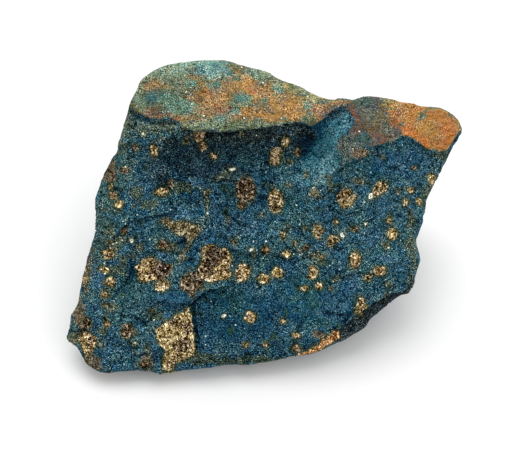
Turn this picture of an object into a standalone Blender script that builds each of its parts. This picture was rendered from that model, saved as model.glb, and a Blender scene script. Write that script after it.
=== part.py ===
"""Aerinite hand specimen: one wedge of blue, fine-grained volcanic rock with round mineral fillings.

The broken face leans towards -Y and the stone stands on a flat underside at z = 0. A flat weathered
shelf runs along the top on the left, and a second, lower one fills the top right corner. The shelf
edges are crests, with a deep hollow under the left one. The walls below the broken face lean inwards,
and the back is a steep wall of a few plain breaks.

The broken face is described by a survey. Its plane leans back by PLANE_TILT, and a survey point
(u, v, w) is in millimetres: u to the right and v up the plane, where the sight line meets the plane,
and w the height over it. All sight lines meet at one station over the middle of the plane.
"""

from math import atan2, cos, floor, pi, radians, sin, tau

import bmesh
import bpy
from mathutils import Vector, noise
from mathutils.geometry import delaunay_2d_cdt
from mathutils.kdtree import KDTree

MM = 0.001

# The survey of the broken face.
PLANE_TILT = radians(30.0)
STATION_HEIGHT = 290.0
PLANE_ORIGIN = (-0.6, -5.9, 25.9)

# The sharp outer edge of the broken face, clockwise from its top left corner.
RIM = [
    (-23.8, 29.1, -5.0), (-22.4, 30.3, -5.2), (-20.4, 31.5, -5.4), (-17.0, 32.5, -5.5),
    (-14.0, 32.8, -5.5), (-10.4, 33.1, -5.5), (-6.8, 32.8, -5.3), (-2.0, 31.4, -4.8),
    (1.2, 30.7, -4.4), (4.2, 28.7, -3.4), (8.0, 27.7, -2.6), (10.0, 26.5, -2.0),
    (13.0, 25.2, -1.2), (15.0, 25.1, -1.2), (16.4, 25.4, -1.3), (18.0, 25.1, -1.3),
    (19.4, 25.3, -1.5), (20.4, 25.8, -1.8), (22.0, 26.0, -2.0), (25.0, 25.5, -1.9),
    (28.0, 24.9, -2.0), (33.2, 24.0, -2.3), (36.2, 23.8, -2.6), (38.4, 22.7, -2.9),
    (40.3, 20.9, -2.6), (40.7, 18.7, -2.1), (39.5, 16.9, -2.6), (38.6, 15.3, -3.0),
    (37.6, 13.3, -3.6), (36.6, 12.3, -3.9), (35.2, 9.5, -4.4), (34.0, 6.9, -4.8),
    (33.1, 4.3, -5.3), (32.6, 1.5, -5.6), (32.0, -1.1, -5.9), (30.9, -4.3, -6.3),
    (31.6, -5.3, -6.4), (32.0, -6.7, -6.6), (31.6, -8.7, -6.7), (31.0, -11.1, -6.9),
    (30.0, -13.5, -7.1), (28.0, -14.9, -7.8), (26.4, -15.5, -8.2), (24.0, -17.1, -8.6),
    (22.0, -18.7, -8.8), (21.4, -20.3, -8.8), (19.0, -21.5, -8.8), (16.0, -23.1, -8.6),
    (13.4, -24.1, -8.8), (10.0, -25.7, -8.9), (5.0, -26.7, -8.6), (1.0, -27.3, -8.5),
    (-2.0, -27.9, -8.4), (-5.0, -27.4, -8.2), (-7.0, -27.5, -8.2), (-12.0, -28.5, -8.2),
    (-16.0, -29.1, -8.0), (-18.0, -29.5, -8.0), (-20.0, -29.5, -8.1), (-22.0, -28.9, -8.2),
    (-25.0, -29.0, -8.2), (-28.0, -29.2, -8.2), (-32.0, -29.8, -8.3), (-35.0, -28.3, -8.3),
    (-36.2, -26.0, -8.3), (-36.8, -24.2, -8.3), (-39.0, -23.4, -8.6), (-39.1, -22.0, -8.6),
    (-38.3, -20.7, -8.2), (-37.9, -18.1, -7.6), (-36.5, -15.1, -7.2), (-35.9, -11.7, -6.8),
    (-34.5, -6.1, -6.3), (-33.3, -1.1, -5.8), (-33.1, 1.9, -5.6), (-33.1, 4.9, -5.4),
    (-32.3, 6.9, -5.2), (-31.2, 10.5, -5.2), (-30.0, 12.7, -5.1), (-28.4, 14.7, -5.0),
    (-27.6, 18.9, -4.6), (-26.4, 22.9, -4.2), (-25.8, 24.9, -4.4), (-24.4, 27.5, -4.8),
]

# Lines that the face folds along: crests, the feet of scarps and the edges of ledges.
FOLDS = {
    "west crest": [
        (-24.6, 22.5, -3.6), (-22.0, 21.3, -2.6), (-20.0, 21.1, -1.6), (-18.0, 21.3, -0.6),
        (-15.6, 19.3, 1.2), (-12.0, 18.5, 2.6), (-8.6, 18.3, 3.0), (-5.0, 18.7, 2.9),
        (-1.0, 19.1, 2.6), (2.0, 19.5, 2.4), (5.0, 20.2, 2.0), (8.0, 20.7, 1.7),
        (10.4, 20.3, 1.8), (12.4, 21.3, 1.5), (14.6, 23.0, 0.6), (17.2, 23.7, 0.3),
    ],
    "scarp foot": [
        (-14.6, 16.9, -0.4), (-11.0, 15.9, -0.5), (-7.0, 15.7, -0.6), (-3.0, 15.9, -0.9),
        (1.0, 16.3, -1.2), (5.0, 16.7, -1.7), (8.0, 16.3, -2.4), (10.4, 15.9, -2.8),
        (12.0, 17.6, -2.4), (13.2, 19.7, -1.8), (14.8, 21.7, -0.9),
    ],
    "hollow west edge": [
        (-22.0, 19.5, -2.4), (-22.4, 16.9, -2.0), (-22.8, 13.9, -1.9), (-23.0, 10.9, -2.0),
        (-22.8, 6.9, -2.3), (-22.0, 3.3, -2.6),
    ],
    "hollow west foot": [
        (-20.6, 16.5, -2.3), (-20.8, 13.3, -2.9), (-20.6, 9.9, -3.3), (-20.0, 6.5, -3.4),
    ],
    "spur top": [
        (19.6, 20.5, 0.6), (18.0, 18.9, 0.8), (17.0, 17.5, 0.8), (15.4, 15.9, 0.6),
        (15.6, 11.9, 0.1), (14.0, 10.5, -0.8), (12.4, 9.3, -1.8),
    ],
    "spur foot": [(11.6, 14.9, -3.1), (10.2, 13.0, -3.4), (9.6, 11.3, -3.4), (8.0, 8.9, -3.3)],
    "east crest": [
        (18.4, 12.5, 0.7), (21.2, 13.3, 0.9), (22.4, 15.5, 0.9), (26.4, 16.5, 0.4),
        (28.8, 17.9, 0.0), (30.4, 17.3, -0.2), (33.0, 15.5, -0.6), (34.4, 14.7, -0.8),
        (37.4, 14.7, -2.0),
    ],
    "east scarp foot": [
        (17.0, 10.5, -0.9), (20.0, 10.7, -0.8), (23.2, 12.1, -0.9), (26.6, 12.9, -1.3),
        (29.8, 13.9, -1.8), (33.0, 12.3, -2.5), (35.6, 12.1, -3.3),
    ],
    "upper west ledge": [
        (-28.4, -1.5, -4.2), (-25.8, 0.9, -3.3), (-22.0, 1.9, -2.9), (-18.4, 2.3, -2.8),
    ],
    "upper west ledge foot": [
        (-27.6, -2.7, -5.0), (-25.2, -0.5, -4.2), (-21.6, 0.5, -3.7), (-18.0, 1.1, -3.3),
    ],
    "lower ledge top": [(-19.0, -13.3, -5.4), (-14.0, -13.3, -5.3)],
    "lower ledge": [
        (-20.0, -15.5, -4.8), (-16.8, -15.9, -4.5), (-13.6, -15.7, -4.4), (-11.0, -13.3, -4.0),
        (-7.6, -12.3, -3.9), (-4.0, -11.5, -3.9),
    ],
    "lower ledge foot": [
        (-19.6, -16.9, -5.8), (-16.4, -16.9, -5.9), (-13.2, -16.9, -5.7), (-10.4, -14.5, -5.1),
        (-7.0, -13.5, -4.9), (-3.4, -12.9, -4.7),
    ],
    "big filling east edge": [(-13.8, -17.9, -5.6), (-13.2, -21.1, -5.9), (-13.2, -25.5, -6.7)],
    "big filling east foot": [(-12.2, -17.9, -6.6), (-12.0, -21.1, -7.1), (-12.0, -25.1, -7.7)],
    "big filling west edge": [(-18.4, -20.1, -5.7), (-20.0, -21.1, -6.2)],
    "undercut edge": [
        (16.2, -20.7, -6.6), (17.4, -19.7, -6.4), (19.4, -19.1, -6.3), (20.4, -18.1, -6.2),
        (21.6, -17.1, -6.2), (24.0, -15.7, -6.3), (26.4, -14.7, -6.5), (29.0, -13.3, -6.7),
    ],
}

# Single points between those lines.
SPOT_HEIGHTS = {
    "west shelf": [
        (-19.0, 28.9, -3.9), (-19.0, 24.9, -2.2), (-23.0, 25.9, -3.7), (-12.0, 28.9, -3.2),
        (-12.0, 22.9, 0.2), (-5.0, 27.9, -2.6), (-5.0, 22.9, 0.5), (2.0, 25.9, -1.5),
        (2.0, 22.5, 0.7), (8.0, 23.9, -0.4),
    ],
    "hollow floor": [
        (-16.0, 12.9, -2.6), (-11.0, 11.9, -2.5), (-6.0, 11.9, -2.5), (0.0, 11.9, -2.8),
        (6.0, 12.5, -3.2), (-15.0, 7.9, -3.7), (-9.0, 6.9, -3.4), (-2.0, 6.9, -3.3),
        (5.0, 6.9, -3.3), (-17.0, 3.9, -3.3), (-9.0, 2.5, -3.0), (-1.0, 2.5, -2.8),
        (7.0, 2.5, -2.7),
    ],
    "east shelf": [
        (20.0, 22.9, -0.3), (21.0, 18.9, 0.6), (25.0, 20.9, -0.4), (27.0, 18.9, -0.1),
        (30.0, 21.9, -1.4), (34.0, 19.9, -1.4), (37.0, 17.9, -1.6),
    ],
    "east slope": [
        (18.0, 6.9, -1.6), (24.0, 6.9, -2.0), (30.0, 7.9, -3.2), (14.0, 6.9, -2.2),
        (10.0, 3.9, -2.4), (16.0, 1.9, -2.0), (23.0, 1.9, -2.4), (29.0, 1.9, -3.8),
        (14.0, -4.1, -2.9), (21.0, -4.1, -3.2), (27.0, -4.7, -4.4), (17.0, -8.7, -3.7),
        (23.0, -10.3, -4.4), (28.0, -10.1, -5.6), (14.0, -13.1, -4.6), (20.0, -14.1, -5.2),
        (25.0, -13.1, -5.8), (16.0, -17.1, -5.6),
    ],
    "middle": [
        (-7.0, -2.1, -2.7), (1.0, -2.1, -2.5), (8.0, -3.1, -2.7), (-4.0, -5.1, -3.1),
        (2.0, -6.7, -3.3), (8.0, -7.5, -3.5), (-10.0, -0.1, -2.7), (-16.0, -5.1, -3.6),
        (-10.0, -7.0, -3.7), (0.0, -12.1, -4.4), (5.0, -13.1, -4.6), (9.0, -15.1, -5.0),
    ],
    "west slope": [
        (-28.0, 7.9, -4.0), (-27.0, 3.9, -3.9), (-30.0, -0.1, -4.7), (-31.0, -6.1, -5.2),
        (-26.6, -10.1, -6.2), (-30.4, -10.1, -5.4), (-24.0, -10.1, -4.6), (-26.4, -5.1, -4.7),
        (-26.4, -14.7, -5.9), (-22.0, -5.1, -3.8), (-19.0, -10.1, -4.4), (-32.4, -13.1, -6.1),
    ],
    "lower slope": [
        (-17.0, -24.1, -6.4), (-22.0, -21.1, -6.7), (-22.0, -25.1, -7.4), (-27.0, -19.1, -6.6),
        (-26.0, -24.1, -7.3), (-32.0, -23.1, -7.5), (-32.0, -18.1, -6.8), (-23.0, -18.3, -6.9),
        (-7.0, -19.1, -6.2), (-1.0, -18.1, -5.6), (5.0, -19.1, -5.7), (11.0, -19.1, -5.9),
        (-6.0, -24.1, -7.3), (1.0, -24.1, -6.9), (8.0, -23.5, -6.8), (13.0, -22.1, -6.8),
    ],
}

# The largest fillings: (u, v, radius, height). A negative height is a weathered-out pit.
FILLINGS = [
    (-22.0, -8.9, 2.6, -0.4), (-8.8, -7.7, 3.0, -0.5), (-14.0, -12.1, 2.1, -0.4),
    (-3.4, -9.5, 1.7, 0.25), (0.8, -10.9, 1.1, 0.2), (-19.4, -12.3, 1.4, 0.2), (17.2, 5.3, 1.8, 0.3),
    (3.2, 4.9, 1.9, -0.3), (-2.8, 6.9, 2.2, -0.3), (24.0, 7.1, 1.5, 0.25), (11.6, -1.1, 1.3, -0.25),
    (19.0, -7.5, 1.3, 0.2), (24.0, -9.3, 1.4, 0.2), (3.0, 14.0, 1.5, 0.3), (-2.0, -18.5, 1.2, 0.2),
    (20.2, -16.7, 1.7, 0.3), (-26.6, -21.1, 1.2, 0.2), (26.4, -1.9, 1.2, 0.2), (-14.0, -1.7, 1.5, 0.25),
    (-34.4, -23.5, 2.0, 0.3),
]

# The walls. Each runs from the rim to the underside, whose outline is a smooth egg in plan.
WALL_CENTRE = (-1.7, -0.3)
BASE_REACH = {0: 31.0, 45: 27.0, 90: 23.5, 135: 27.0, 180: 31.5, 225: 31.0, 270: 19.5, 315: 22.0}
WALL_LEVELS = (0.12, 0.3, 0.5, 0.7, 0.86, 1.0)
WALL_BULGE = 0.28
BELOW_BASE = 3.0

# Plain breaks across the walls: compass angle from +X, rise, and distance from BREAK_CENTRE.
BREAK_CENTRE = (0.3, 1.7, 16.0)
BREAKS = [
    (66.0, 8.0, 30.6), (97.0, -6.0, 24.1), (114.0, 6.0, 32.3), (136.0, -2.0, 31.9),
    (165.0, -14.0, 35.5), (188.0, -24.0, 44.5), (80.0, -38.0, 23.0),
    (122.0, -40.0, 26.5), (20.0, -22.0, 32.0), (152.0, -52.0, 27.0), (-40.0, -35.0, 29.6),
]

# Roughness of the broken surfaces: (grain size, height) in millimetres. The walls are smoother
# within RIM_GUARD of the rim, and their terraces have STEP_LEVELS floors.
FACE_LUMPS = ((6.0, 0.30), (2.8, 0.22))
WALL_LUMPS = ((13.0, 0.9), (5.0, 0.45), (2.4, 0.2))
WALL_STEP = (11.0, 1.1)
STEP_LEVELS = 3
RIM_GUARD = 7.0

# A surface belongs wholly to the walls below the first of these slopes towards the survey station
# (the cosine of the angle to its line of sight), and wholly to the broken face above the second.
FACE_SLOPES = (0.1, 0.6)

# How the mesh is made. Points closer than BASE_MERGE along the cut underside become one.
VOXEL = 0.55
SMOOTH_STEPS = 5
FINAL_SMOOTH_STEPS = 3
SMOOTH_FACTOR = 0.5
SAME_POINT = 1e-5
RIM_OUTSET = 0.2
TARGET_TRIANGLES = 10400
BASE_MERGE = 0.3

STONE_BLUE = (0.035, 0.115, 0.175, 1.0)
STONE_ROUGHNESS = 0.8


def place(u, v, w):
    """The point of a survey reading, in millimetres in the stone's own frame."""
    scale = 1.0 - w / STATION_HEIGHT
    along = v * scale
    x0, y0, z0 = PLANE_ORIGIN
    return Vector((
        x0 + u * scale,
        y0 + along * cos(PLANE_TILT) - w * sin(PLANE_TILT),
        z0 + along * sin(PLANE_TILT) + w * cos(PLANE_TILT),
    ))


def remove_everything():
    for thing in list(bpy.data.objects):
        bpy.data.objects.remove(thing, do_unlink=True)


def outset_rim():
    """The rim moved out by RIM_OUTSET, which makes up for the softening of its edge."""
    moved = []
    for i, (u, v, w) in enumerate(RIM):
        before = Vector(RIM[i - 1][:2])
        after = Vector(RIM[(i + 1) % len(RIM)][:2])
        along = (after - before).normalized()
        moved.append((u - along.y * RIM_OUTSET, v + along.x * RIM_OUTSET, w))
    return moved


def face_triangles():
    """The surveyed face as points and triangles, with the rim first and in order."""
    readings = outset_rim()
    edges = [(i, (i + 1) % len(RIM)) for i in range(len(RIM))]
    for line in FOLDS.values():
        start = len(readings)
        readings += line
        edges += [(start + i, start + i + 1) for i in range(len(line) - 1)]
    for group in SPOT_HEIGHTS.values():
        readings += group
    flat = [Vector((u, v)) for u, v, _ in readings]
    inside_rim = 1
    points, _, triangles, sources, _, _ = delaunay_2d_cdt(flat, edges, [], inside_rim, SAME_POINT)
    if len(points) != len(readings):
        raise ValueError("survey lines cross")
    order = [source[0] for source in sources]
    return [place(*readings[i]) for i in range(len(readings))], [[order[i] for i in t] for t in triangles]


def base_reach(angle):
    """How far the underside reaches from WALL_CENTRE at a compass angle, smoothly between the rows."""
    step = tau / len(BASE_REACH)
    reaches = list(BASE_REACH.values())
    place_between = (angle % tau) / step
    first = int(floor(place_between)) % len(reaches)
    blend = (1.0 - cos(pi * (place_between - floor(place_between)))) / 2.0
    return reaches[first] * (1.0 - blend) + reaches[(first + 1) % len(reaches)] * blend


def wall_point(rim_point, level):
    """A point of the wall under one rim point. level is 0 at the rim and 1 at the underside."""
    dx = rim_point.x - WALL_CENTRE[0]
    dy = rim_point.y - WALL_CENTRE[1]
    angle = atan2(dy, dx)
    rim_reach = (dx * dx + dy * dy) ** 0.5
    foot_reach = min(base_reach(angle), rim_reach)
    front = max(0.0, -sin(angle))
    back = max(0.0, sin(angle)) ** 2
    reach = rim_reach + (foot_reach - rim_reach) * level ** (1.0 + front)
    reach += WALL_BULGE * back * rim_point.z * sin(pi * level) ** 2
    height = rim_point.z * (1.0 - level)
    return Vector((WALL_CENTRE[0] + reach * cos(angle), WALL_CENTRE[1] + reach * sin(angle), height))


def add_ring(mesh, points):
    return [mesh.verts.new(point) for point in points]


def join_rings(mesh, upper, lower):
    for i, corner in enumerate(upper):
        after = (i + 1) % len(upper)
        mesh.faces.new((corner, upper[after], lower[after], lower[i]))


def turn_outwards(mesh):
    """Makes the faces of a closed mesh agree and point outwards."""
    bmesh.ops.recalc_face_normals(mesh, faces=mesh.faces)
    if mesh.calc_volume(signed=True) < 0.0:
        bmesh.ops.reverse_faces(mesh, faces=mesh.faces)


def rough_body():
    """The closed coarse form: the surveyed face, the walls and a cap below the underside."""
    points, triangles = face_triangles()
    mesh = bmesh.new()
    corners = add_ring(mesh, points)
    for triangle in triangles:
        mesh.faces.new([corners[i] for i in triangle])
    rim_points = points[: len(RIM)]
    ring = corners[: len(RIM)]
    for level in WALL_LEVELS:
        lower = add_ring(mesh, [wall_point(point, level) for point in rim_points])
        join_rings(mesh, ring, lower)
        ring = lower
    sunk = add_ring(mesh, [corner.co - Vector((0.0, 0.0, BELOW_BASE)) for corner in ring])
    join_rings(mesh, ring, sunk)
    middle = mesh.verts.new((WALL_CENTRE[0], WALL_CENTRE[1], -BELOW_BASE))
    for i, corner in enumerate(sunk):
        mesh.faces.new((corner, sunk[(i + 1) % len(sunk)], middle))
    turn_outwards(mesh)
    return mesh


def object_from(mesh, name, collection):
    data = bpy.data.meshes.new(name)
    mesh.to_mesh(data)
    mesh.free()
    thing = bpy.data.objects.new(name, data)
    collection.objects.link(thing)
    return thing


def apply_modifiers(thing):
    """Replaces the object's mesh by its evaluated one and clears its modifiers."""
    bpy.context.view_layer.update()
    evaluated = thing.evaluated_get(bpy.context.evaluated_depsgraph_get())
    finished = bpy.data.meshes.new_from_object(evaluated)
    thing.modifiers.clear()
    old = thing.data
    thing.data = finished
    bpy.data.meshes.remove(old)


def add_smoothing(thing, rounds):
    soften = thing.modifiers.new("soften", "SMOOTH")
    soften.iterations = rounds
    soften.factor = SMOOTH_FACTOR


def even_skin(thing):
    """Gives the body small, even faces that the roughness can work on."""
    remesh = thing.modifiers.new("even skin", "REMESH")
    remesh.mode = "VOXEL"
    remesh.voxel_size = VOXEL
    add_smoothing(thing, SMOOTH_STEPS)
    apply_modifiers(thing)


def lumps(point, layers):
    """Sum of noise layers (size, height) at a point."""
    return sum(height * noise.noise(point / size) for size, height in layers)


def steps(point, size, height):
    """Terraces: noise pressed towards a few levels, so that it breaks in ledges."""
    level = noise.noise(point / size) * STEP_LEVELS
    whole = floor(level)
    part = level - whole
    pressed = part * part * part * (part * (6.0 * part - 15.0) + 10.0)
    return height * (whole + pressed) / STEP_LEVELS


def break_plane(angle, rise, distance):
    """The outward normal of a plain break and its offset from the origin."""
    flat = cos(radians(rise))
    normal = Vector((flat * cos(radians(angle)), flat * sin(radians(angle)), sin(radians(rise))))
    return normal, distance + normal.dot(Vector(BREAK_CENTRE))


def survey_normal():
    return Vector((0.0, -sin(PLANE_TILT), cos(PLANE_TILT)))


def rim_tree():
    """The rim as a search tree, so that the walls keep its line where they meet it."""
    points = [place(*reading) for reading in RIM]
    middles = [(point + points[i - 1]) / 2.0 for i, point in enumerate(points)]
    tree = KDTree(len(points) + len(middles))
    for i, point in enumerate(points + middles):
        tree.insert(point, i)
    tree.balance()
    return tree


def roughen(thing):
    """Cuts the walls back to their breaks and raises lumps, ledges and fillings over the skin."""
    mesh = bmesh.new()
    mesh.from_mesh(thing.data)
    planes = [break_plane(*row) for row in BREAKS]
    for vert in mesh.verts:
        for normal, offset in planes:
            beyond = vert.co.dot(normal) - offset
            if beyond > 0.0:
                vert.co -= normal * beyond
    mesh.normal_update()
    towards_station = survey_normal()
    fillings = [(place(u, v, 0.0), radius, height) for u, v, radius, height in FILLINGS]
    rim = rim_tree()
    wall_slope, face_slope = FACE_SLOPES
    moves = []
    for vert in mesh.verts:
        facing = vert.normal.dot(towards_station)
        face_share = min(1.0, max(0.0, (facing - wall_slope) / (face_slope - wall_slope)))
        guard = min(1.0, rim.find(vert.co)[2] / RIM_GUARD)
        wall_height = guard * (lumps(vert.co, WALL_LUMPS) + steps(vert.co, *WALL_STEP))
        face_height = lumps(vert.co, FACE_LUMPS)
        if face_share > 0.0:
            face_height += filling_height(vert.co, fillings, towards_station)
        moves.append(vert.normal * (face_share * face_height + (1.0 - face_share) * wall_height))
    for vert, move in zip(mesh.verts, moves):
        vert.co += move
    mesh.to_mesh(thing.data)
    mesh.free()


def filling_height(point, fillings, direction):
    """How far the fillings raise the face at a point: a low dome, or a pit with a flat floor."""
    total = 0.0
    for centre, radius, height in fillings:
        offset = point - centre
        across = (offset - direction * offset.dot(direction)).length / radius
        if across < 1.0:
            total += height * (1.0 - across**4)
    return total


def thin_out(thing):
    """Softens the last spikes and brings the skin down to the triangle budget."""
    add_smoothing(thing, FINAL_SMOOTH_STEPS)
    thing.data.calc_loop_triangles()
    have = len(thing.data.loop_triangles)
    thin = thing.modifiers.new("thin out", "DECIMATE")
    thin.ratio = min(1.0, TARGET_TRIANGLES / have)
    apply_modifiers(thing)


def cut_base(thing):
    """Cuts the underside flat at z = 0 and closes it."""
    mesh = bmesh.new()
    mesh.from_mesh(thing.data)
    whole = mesh.verts[:] + mesh.edges[:] + mesh.faces[:]
    bmesh.ops.bisect_plane(
        mesh, geom=whole, plane_co=(0.0, 0.0, 0.0), plane_no=(0.0, 0.0, 1.0), clear_inner=True
    )
    ring = {vert for edge in mesh.edges if edge.is_boundary for vert in edge.verts}
    for vert in ring:
        vert.co.z = 0.0
    bmesh.ops.remove_doubles(mesh, verts=list(ring), dist=BASE_MERGE)
    open_edges = [edge for edge in mesh.edges if edge.is_boundary]
    bmesh.ops.holes_fill(mesh, edges=open_edges, sides=0)
    bmesh.ops.triangulate(mesh, faces=mesh.faces[:])
    turn_outwards(mesh)
    mesh.to_mesh(thing.data)
    mesh.free()


def to_metres(thing):
    for vert in thing.data.vertices:
        vert.co *= MM


def stone_material():
    material = bpy.data.materials.new("aerinite")
    material.use_nodes = True
    shader = material.node_tree.nodes["Principled BSDF"]
    shader.inputs["Base Color"].default_value = STONE_BLUE
    shader.inputs["Roughness"].default_value = STONE_ROUGHNESS
    shader.inputs["Metallic"].default_value = 0.0
    return material


def make_stone(collection):
    stone = object_from(rough_body(), "stone", collection)
    even_skin(stone)
    roughen(stone)
    thin_out(stone)
    cut_base(stone)
    to_metres(stone)
    stone.data.materials.append(stone_material())
    return stone


def main():
    remove_everything()
    collection = bpy.data.collections.new("aerinite specimen")
    bpy.context.scene.collection.children.link(collection)
    make_stone(collection)


main()
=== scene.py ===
"""The look of the aerinite specimen: one broken piece of blue volcanic rock with round mineral fillings.

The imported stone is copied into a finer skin. The skin gets the rock's small relief and, at each point,
the distances to the edges of its patches and fillings. One material turns those distances into crisp,
uneven edges and colours them.

Places on the broken face are survey readings: pixels of the 520 x 449 photograph, x to the right and y
down, READING millimetres apart on the survey plane, as seen from the station over the face. An oval is
(x, y, half width, half height) in readings, and may have its tilt in degrees as a fifth number. Places
elsewhere are spread by seeded chance.
"""

from math import cos, radians, sin

import bmesh
import bpy
import numpy as np
from mathutils import Matrix, Vector

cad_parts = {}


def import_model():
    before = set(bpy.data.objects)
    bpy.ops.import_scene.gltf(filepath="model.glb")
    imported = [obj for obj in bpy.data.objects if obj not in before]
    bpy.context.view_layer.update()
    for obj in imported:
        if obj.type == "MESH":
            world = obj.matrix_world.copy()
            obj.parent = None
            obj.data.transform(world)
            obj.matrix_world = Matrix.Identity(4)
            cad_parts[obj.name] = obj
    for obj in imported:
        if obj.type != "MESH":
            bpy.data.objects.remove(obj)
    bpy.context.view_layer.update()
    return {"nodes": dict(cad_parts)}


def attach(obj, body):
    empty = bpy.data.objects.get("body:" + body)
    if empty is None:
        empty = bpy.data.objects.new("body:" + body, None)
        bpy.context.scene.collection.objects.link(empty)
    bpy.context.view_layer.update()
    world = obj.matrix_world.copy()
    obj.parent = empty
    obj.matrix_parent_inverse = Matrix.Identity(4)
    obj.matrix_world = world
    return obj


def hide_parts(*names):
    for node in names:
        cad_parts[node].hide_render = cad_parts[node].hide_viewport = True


MM = 0.001

# The survey of the broken face, the same one that the solid was drawn from.
READING = 0.2
SURVEY_CENTRE = (260.0, 224.5)
SURVEY_WIDTH = 104.0
PLANE_TILT = radians(30.0)
PLANE_ORIGIN = (-0.6, -5.9, 25.9)
STATION_HEIGHT = 290.0

# The camera's sensor in millimetres, and the nearest and farthest that it sees in metres.
SENSOR = 36.0
CAMERA_NEAR = 0.01
CAMERA_FAR = 20.0

# Patches of the face, as closed outlines.
PATCHES = {
    "shelf": [
        (104, 96), (118, 104), (128, 106), (137, 112), (150, 118), (160, 119), (170, 118), (178, 122),
        (182, 128), (190, 130.5), (200, 132), (217, 133), (235, 131), (255, 129), (270, 127), (285, 124),
        (300, 123), (311, 126), (318, 123), (325, 118), (331, 112.5), (336, 108.5), (343, 105.5),
        (350, 112), (355, 120), (353, 126), (347, 132), (352, 138), (362, 142), (372, 147), (378, 145),
        (392, 142), (400, 137), (405, 135), (412, 138), (425, 147), (432, 151), (447, 151), (455, 138),
        (461, 131), (500, 120), (470, 60), (350, 60), (250, 20), (150, 20), (90, 70),
    ],
    "mauve": [
        (345, 101), (350, 112), (355, 120), (353, 126), (347, 132), (342, 140), (337, 148), (335, 158),
        (338, 165), (352, 162), (366, 158), (372, 150), (378, 145), (392, 142), (400, 137), (403, 128),
        (395, 118), (388, 108), (378, 98), (372, 85), (350, 80),
    ],
    # The overhang's underside, which is painted dark as painted shade.
    "underside": [
        (338, 331), (345, 325), (352, 320), (359, 316), (366, 309), (374, 303), (382, 299), (390, 297),
        (397, 293), (404, 291), (412, 284), (419, 276), (440, 290), (400, 330), (340, 350),
    ],
    "teal": [
        (338, 114), (329, 122), (321, 134), (314, 142), (307, 154), (301, 165), (294, 178), (306, 188),
        (322, 186), (335, 178), (340, 168), (336, 155), (337, 145), (343, 137), (347, 130), (351, 122),
        (350, 113), (345, 108),
    ],
}

# Colours as display values, 0 to 255.
COLOURS = {
    "navy": (14, 66, 89), "sea": (27, 77, 85), "azure": (11, 76, 107), "olive": (51, 69, 46),
    "teal": (56, 112, 126), "shade": (26, 42, 48), "speck": (158, 164, 140), "shelf": (84, 95, 76),
    "mauve": (85, 82, 72), "rind": (96, 102, 82), "rusty": (140, 112, 74), "pale filling": (152, 131, 76),
    "warm filling": (140, 104, 54), "rusty filling": (172, 116, 52), "white filling": (172, 178, 158),
    "dark filling": (66, 47, 25), "dark rim": (56, 60, 34), "needle": (136, 148, 128),
}

# Blots of colour, as kind: (colour, share, ovals). Each kind covers those before it.
# The first group stays on the weathered shelves.
SHELF_BLOTS = {
    "rust": ((124, 98, 62), 0.9, [
        (153, 85, 10, 7), (190, 84, 12, 9), (211, 99, 25, 18), (232, 90, 16, 13), (240, 70, 8, 4),
        (248, 86, 14, 11), (270, 94, 18, 14), (284, 105, 24, 15), (262, 112, 28, 10), (234, 112, 20, 9),
        (300, 113, 14, 7), (336, 104, 14, 4), (328, 109, 12, 6, -30), (320, 117, 8, 5, -30),
        (184, 119, 12, 5), (202, 121, 8, 5), (137, 112, 5, 4),
    ]),
    "tawny": ((148, 112, 64), 0.8, [
        (249, 86, 9, 9), (268, 96, 13, 8), (322, 114, 12, 5, -35), (290, 108, 17, 9), (240, 110, 12, 5),
        (212, 92, 12, 6), (222, 104, 12, 6), (270, 118, 18, 5),
    ]),
    "pale": ((104, 124, 102), 0.85, [
        (170, 70, 24, 9, 10), (188, 64, 16, 6), (259, 75, 9, 5, -20), (274, 84, 8, 3, -25),
        (216, 126, 28, 5), (262, 126, 16, 3, 4), (246, 99, 7, 8), (150, 74, 8, 6, 40),
        (138, 98, 7, 14, 15),
    ]),
    "frost": ((108, 148, 140), 0.9, [(212, 69, 14, 9), (208, 60, 12, 3)]),
    "deep": ((56, 94, 98), 0.85, [(202, 72, 2.5, 5, 10), (225, 71, 8, 3.5, -20), (155, 97, 9, 5)]),
    "patina": ((72, 110, 100), 0.85, [
        (189, 84, 8, 5), (178, 106, 15, 8, -15), (164, 99, 8, 4), (240, 99, 9, 6, 15),
        (233, 108, 6, 7, 25), (264, 102, 4.5, 3.5), (307, 106, 6, 3.5, -40), (311, 113, 4, 3),
        (278, 91, 5, 2), (222, 117, 6, 4), (213, 88, 7, 5),
    ]),
    "lime": ((138, 132, 92), 0.8, [(313, 98, 10, 5, -25), (296, 90, 9, 5, -25), (423, 126, 7, 4, -20)]),
    "orange": ((161, 111, 62), 0.95, [
        (406, 112, 12, 16, -30), (416, 128, 18, 18), (440, 132, 24, 20), (425, 116, 40, 16),
        (252, 90, 6, 4),
    ]),
    "blush": ((170, 104, 56), 0.7, [
        (408, 130, 9, 6, -35), (430, 112, 10, 4), (448, 128, 8, 9), (424, 140, 10, 5), (442, 143, 9, 5),
    ]),
    "honey": ((146, 120, 72), 0.6, [
        (428, 128, 10, 8), (436, 110, 16, 3, -12), (392, 104, 12, 5, -20), (402, 117, 5, 5),
        (436, 138, 5, 4),
    ]),
    "verdigris": ((88, 104, 84), 0.85, [
        (421, 115, 4.5, 3.5), (432, 104, 18, 2.5, -14), (452, 112, 10, 2.5, -40), (461, 126, 2, 12),
    ]),
    "slate": ((60, 82, 76), 0.85, [(363, 102, 12, 7), (363, 139, 5, 5)]),
    "ash": ((88, 92, 76), 0.75, [(373, 117, 10, 7), (386, 126, 8, 10)]),
    "red": ((112, 76, 60), 0.75, [
        (352, 112, 4, 10, 35), (357, 131, 4, 4), (397, 131, 4, 8), (324, 114, 8, 2.5, -32),
        (396, 121, 3, 6, -20), (384, 141, 12, 3.5, 15), (372, 135, 7, 4), (153, 114, 7, 4),
        (172, 119, 6, 3), (330, 113, 8, 3), (209, 92, 6, 3), (256, 88, 5, 3), (222, 110, 6, 3),
    ]),
}
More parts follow.
